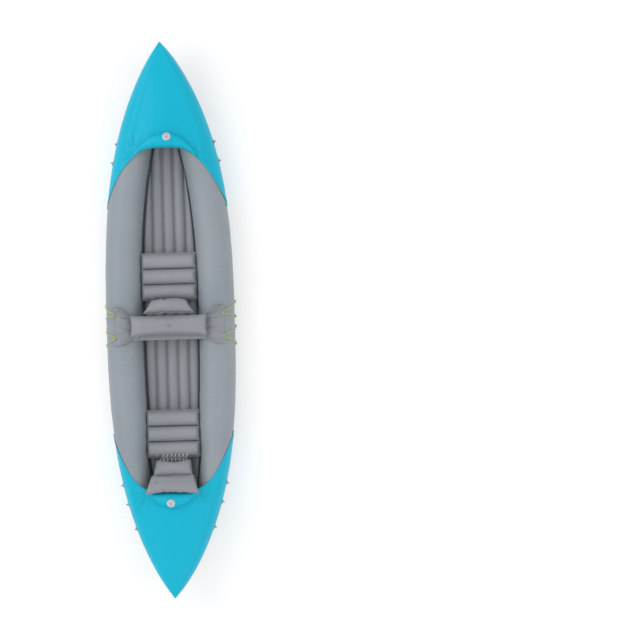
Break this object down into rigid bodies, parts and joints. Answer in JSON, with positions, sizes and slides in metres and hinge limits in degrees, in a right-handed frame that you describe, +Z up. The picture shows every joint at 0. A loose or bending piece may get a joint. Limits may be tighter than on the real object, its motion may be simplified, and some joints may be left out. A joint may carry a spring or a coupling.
{
  "type": "inflatable kayak",
  "caption": "Open two-seat inflatable kayak with two side tubes, lobed floor, spray covers, inflatable seats, screw valves and laced backrest.",
  "frame": {"origin": "on the ground under the middle of the hull", "axes": "+Y to the bow, +X to starboard, +Z up"},
  "size_m": [0.775, 3.25, 0.333],
  "materials": {
    "tube_grey": "satin PVC skin",
    "seat_grey": "satin PVC skin",
    "turquoise": "glossy PVC cover",
    "pale_plastic": "moulded plastic",
    "valve_rubber": "soft rubber",
    "lime_cord": "braided cord",
    "eyelet_grey": "moulded plastic"
  },
  "bodies": {
    "hull": {"port_side_tube": "tube_grey", "starboard_side_tube": "tube_grey", "floor_skin": "seat_grey", "floor_beams": "seat_grey", "bow_cover_top": "turquoise", "bow_cover_port": "turquoise", "bow_cover_starboard": "turquoise", "stern_cover_top": "turquoise", "stern_cover_port": "turquoise", "stern_cover_starboard": "turquoise", "bow_splash_chamber": "turquoise", "stern_splash_chamber": "turquoise", "cover_end_tabs": "turquoise", "front_cushion": "seat_grey", "rear_cushion": "seat_grey", "front_backrest_lower": "seat_grey", "front_backrest_pillow": "seat_grey", "front_backrest_sheet": "seat_grey", "rear_backrest_skirt": "seat_grey", "lacing_buttons": "eyelet_grey", "port_lacing_cord": "lime_cord", "starboard_lacing_cord": "lime_cord", "lacing_knots": "lime_cord", "rope_eyelets": "eyelet_grey", "bow_valve_base": "pale_plastic", "stern_valve_base": "pale_plastic", "port_valve_base": "pale_plastic", "starboard_valve_base": "pale_plastic", "floor_valve_base": "pale_plastic", "front_cushion_stem": "pale_plastic", "rear_cushion_stem": "pale_plastic", "pillow_stem": "pale_plastic"},
    "bow_seal": {"bow_valve_seal": "valve_rubber"},
    "bow_cap": {"bow_valve_cap": "pale_plastic"},
    "bow_flap": {"bow_valve_flap": "valve_rubber"},
    "stern_seal": {"stern_valve_seal": "valve_rubber"},
    "stern_cap": {"stern_valve_cap": "pale_plastic"},
    "stern_flap": {"stern_valve_flap": "valve_rubber"},
    "starboard_seal": {"starboard_valve_seal": "valve_rubber"},
    "starboard_cap": {"starboard_valve_cap": "pale_plastic"},
    "starboard_flap": {"starboard_valve_flap": "valve_rubber"},
    "port_seal": {"port_valve_seal": "valve_rubber"},
    "port_cap": {"port_valve_cap": "pale_plastic"},
    "port_flap": {"port_valve_flap": "valve_rubber"},
    "floor_seal": {"floor_valve_seal": "valve_rubber"},
    "floor_cap": {"floor_valve_cap": "pale_plastic"},
    "floor_flap": {"floor_valve_flap": "valve_rubber"},
    "front_cushion_plug": {"front_cushion_plug": "pale_plastic"},
    "rear_cushion_plug": {"rear_cushion_plug": "pale_plastic"},
    "pillow_plug": {"pillow_plug": "pale_plastic"},
    "rear_backrest_plug": {"rear_backrest_plug": "pale_plastic"},
    "rear_backrest": {"rear_backrest_lower": "seat_grey", "rear_backrest_upper": "seat_grey", "rear_backrest_stem": "pale_plastic"}
  },
  "joints": [
    {"name": "rear_backrest_fold", "type": "hinge", "parent": "hull", "child": "rear_backrest", "pos_m": [0, -0.826, 0.182], "axis": [-1, 0, 0], "range_deg": [0, 118]},
    {"name": "bow_cap_lift", "type": "slide", "parent": "hull", "child": "bow_seal", "axis": [0, 0.342, 0.9397], "range_m": [0, 0.006]},
    {"name": "bow_cap_turn", "type": "hinge", "parent": "bow_seal", "child": "bow_cap", "pos_m": [0.026, 1.0734, 0.30952], "axis": [0, 0.342, 0.9397], "range_deg": [0, 540]},
    {"name": "bow_flap_open", "type": "slide", "parent": "hull", "child": "bow_flap", "axis": [0, -0.342, -0.9397], "range_m": [0, 0.004], "stiffness_N_per_m": 60, "springref_m": -0.001},
    {"name": "stern_cap_lift", "type": "slide", "parent": "hull", "child": "stern_seal", "axis": [0, -0.342, 0.9397], "range_m": [0, 0.006]},
    {"name": "stern_cap_turn", "type": "hinge", "parent": "stern_seal", "child": "stern_cap", "pos_m": [-0.009, -1.0734, 0.30983], "axis": [0, -0.342, 0.9397], "range_deg": [0, 540]},
    {"name": "stern_flap_open", "type": "slide", "parent": "hull", "child": "stern_flap", "axis": [0, 0.342, -0.9397], "range_m": [0, 0.004], "stiffness_N_per_m": 60, "springref_m": -0.001},
    {"name": "starboard_cap_lift", "type": "slide", "parent": "hull", "child": "starboard_seal", "axis": [-0.766, 0, 0.6428], "range_m": [0, 0.006]},
    {"name": "starboard_cap_turn", "type": "hinge", "parent": "starboard_seal", "child": "starboard_cap", "pos_m": [0.14062, -1.075, 0.2078], "axis": [-0.766, 0, 0.6428], "range_deg": [0, 540]},
    {"name": "starboard_flap_open", "type": "slide", "parent": "hull", "child": "starboard_flap", "axis": [0.766, 0, -0.6428], "range_m": [0, 0.004], "stiffness_N_per_m": 60, "springref_m": -0.001},
    {"name": "port_cap_lift", "type": "slide", "parent": "hull", "child": "port_seal", "axis": [0.766, 0, 0.6428], "range_m": [0, 0.006]},
    {"name": "port_cap_turn", "type": "hinge", "parent": "port_seal", "child": "port_cap", "pos_m": [-0.14062, -1.075, 0.2078], "axis": [0.766, 0, 0.6428], "range_deg": [0, 540]},
    {"name": "port_flap_open", "type": "slide", "parent": "hull", "child": "port_flap", "axis": [-0.766, 0, -0.6428], "range_m": [0, 0.004], "stiffness_N_per_m": 60, "springref_m": -0.001},
    {"name": "floor_cap_lift", "type": "slide", "parent": "hull", "child": "floor_seal", "axis": [0, -0.1219, 0.9925], "range_m": [0, 0.006]},
    {"name": "floor_cap_turn", "type": "hinge", "parent": "floor_seal", "child": "floor_cap", "pos_m": [0, 1.07401, 0.10119], "axis": [0, -0.1219, 0.9925], "range_deg": [0, 540]},
    {"name": "floor_flap_open", "type": "slide", "parent": "hull", "child": "floor_flap", "axis": [0, 0.1219, -0.9925], "range_m": [0, 0.004], "stiffness_N_per_m": 60, "springref_m": -0.001},
    {"name": "front_cushion_plug_open", "type": "hinge", "parent": "hull", "child": "front_cushion_plug", "pos_m": [-0.09, 0.1274, 0.16257], "axis": [0, 0.6428, 0.766], "range_deg": [0, 150]},
    {"name": "rear_cushion_plug_open", "type": "hinge", "parent": "hull", "child": "rear_cushion_plug", "pos_m": [-0.09, -0.8026, 0.16257], "axis": [0, 0.6428, 0.766], "range_deg": [0, 150]},
    {"name": "pillow_plug_open", "type": "hinge", "parent": "hull", "child": "pillow_plug", "pos_m": [0.01, -0.032, 0.2947], "axis": [0, 1, 0], "range_deg": [0, 150]},
    {"name": "rear_backrest_plug_open", "type": "hinge", "parent": "rear_backrest", "child": "rear_backrest_plug", "pos_m": [-0.085, -0.94968, 0.305], "axis": [0, 0.8155, -0.5787], "range_deg": [0, 150]}
  ],
  "couplings": [
    {"joint": "bow_cap_turn", "follows": "bow_cap_lift", "rad_per_m": 1570.8},
    {"joint": "stern_cap_turn", "follows": "stern_cap_lift", "rad_per_m": 1570.8},
    {"joint": "starboard_cap_turn", "follows": "starboard_cap_lift", "rad_per_m": 1570.8},
    {"joint": "port_cap_turn", "follows": "port_cap_lift", "rad_per_m": 1570.8},
    {"joint": "floor_cap_turn", "follows": "floor_cap_lift", "rad_per_m": 1570.8}
  ]
}
